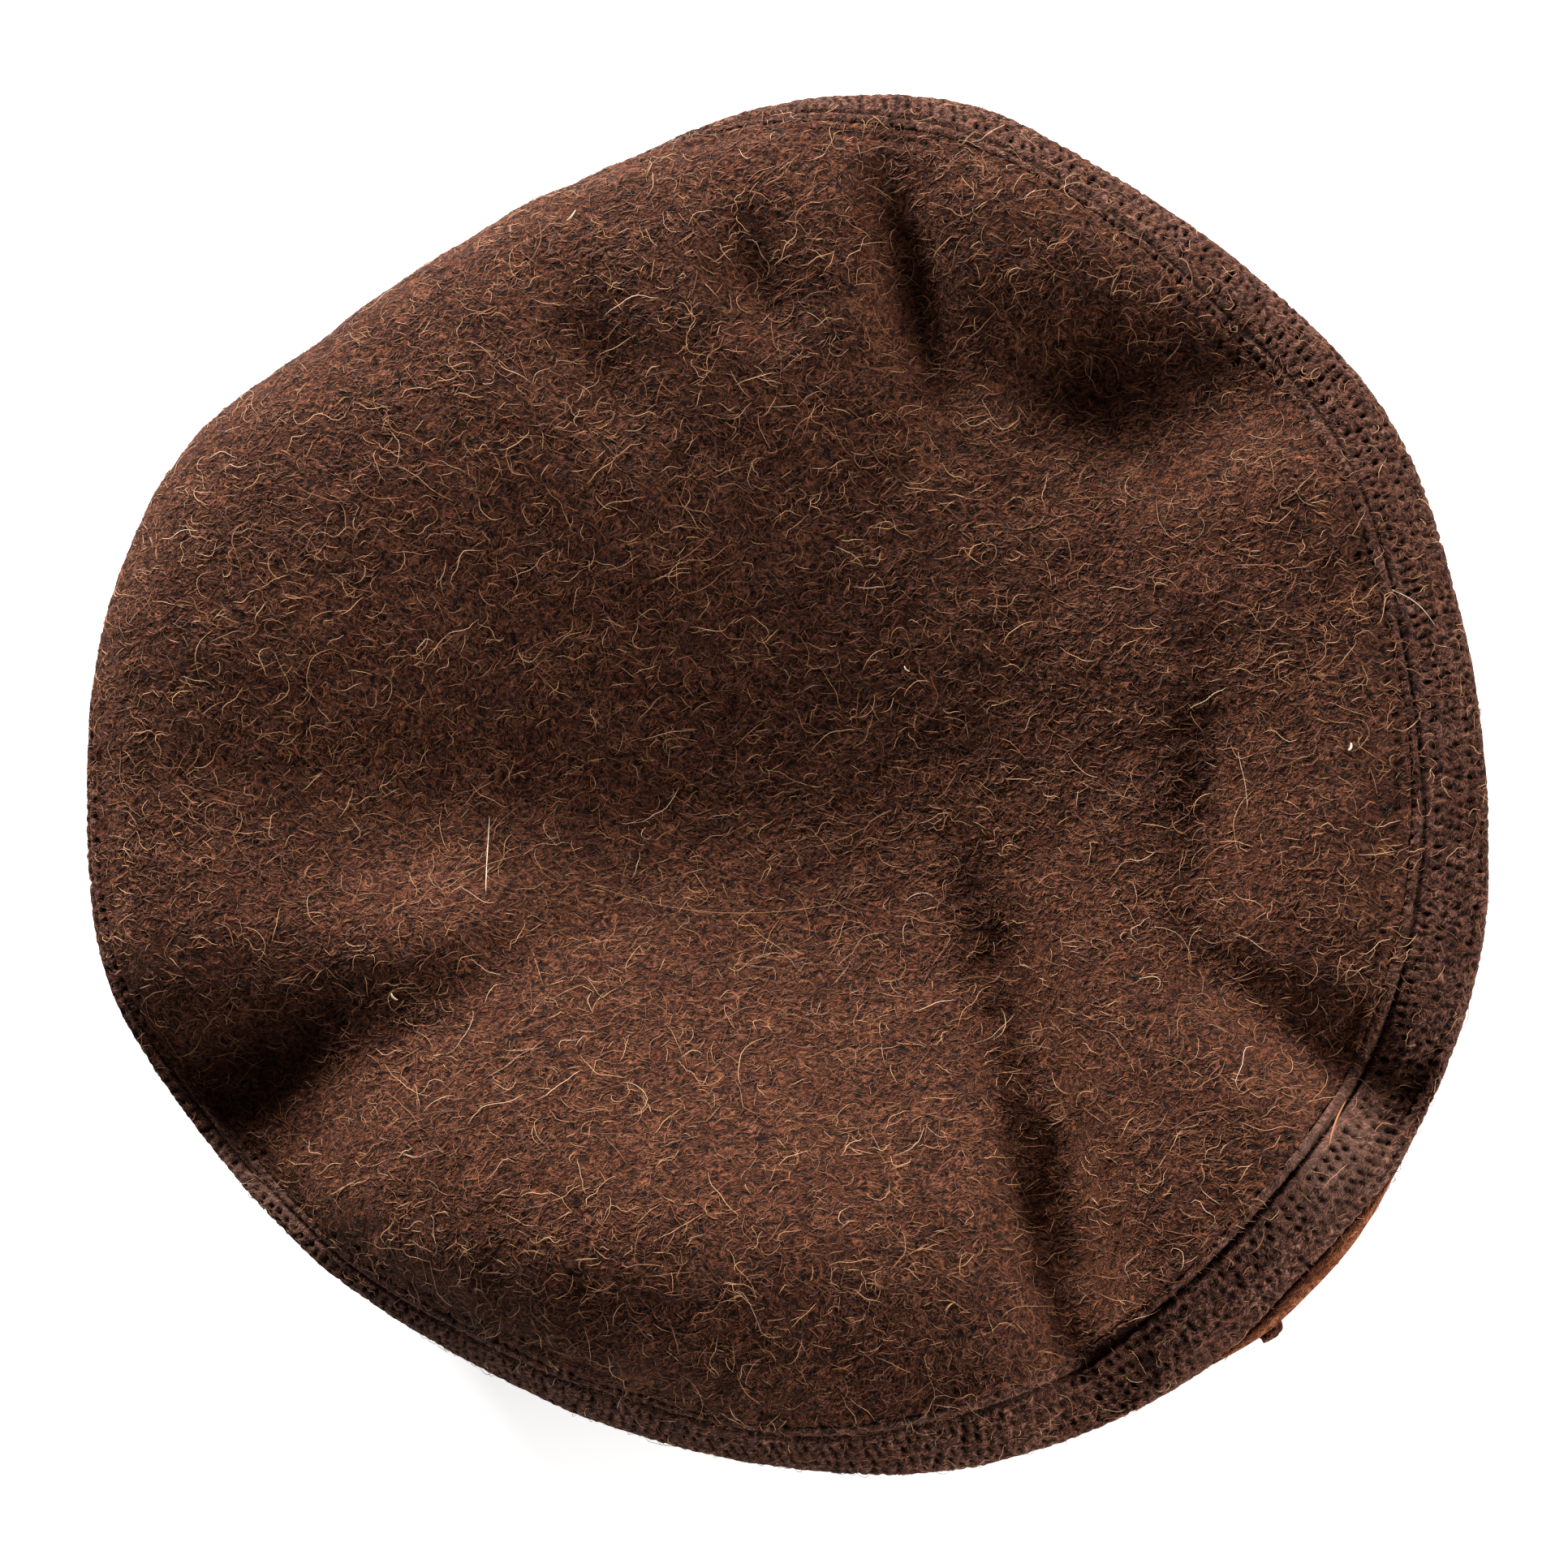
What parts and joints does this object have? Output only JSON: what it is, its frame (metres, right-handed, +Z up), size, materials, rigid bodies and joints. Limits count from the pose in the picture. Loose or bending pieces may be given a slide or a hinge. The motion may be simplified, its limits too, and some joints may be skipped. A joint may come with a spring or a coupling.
{
  "type": "pakol cap",
  "caption": "Round soft cap of felted wool with a sagging crown, a stitched edge band and a thick rolled brim, lying crown up.",
  "frame": {"origin": "the point of the surface that the cap rests on, under the middle of its bounding box", "axes": "+Z up out of the crown, +Y towards the picture's far edge of the cap, +X towards its right edge"},
  "size_m": [0.2572, 0.2518, 0.0657],
  "materials": {
    "crown_top": "thick fulled wool felt, dark brown, hairy",
    "stitched_band": "the same felt quilted with close rows of dark thread",
    "rolled_side": "rust-brown wool felt, wound into a roll",
    "seam_tab": "rust-brown wool felt"
  },
  "bodies": {
    "root": {"crown_top": "crown_top", "stitched_band": "stitched_band", "rolled_side": "rolled_side", "seam_tab": "seam_tab"}
  },
  "joints": []
}
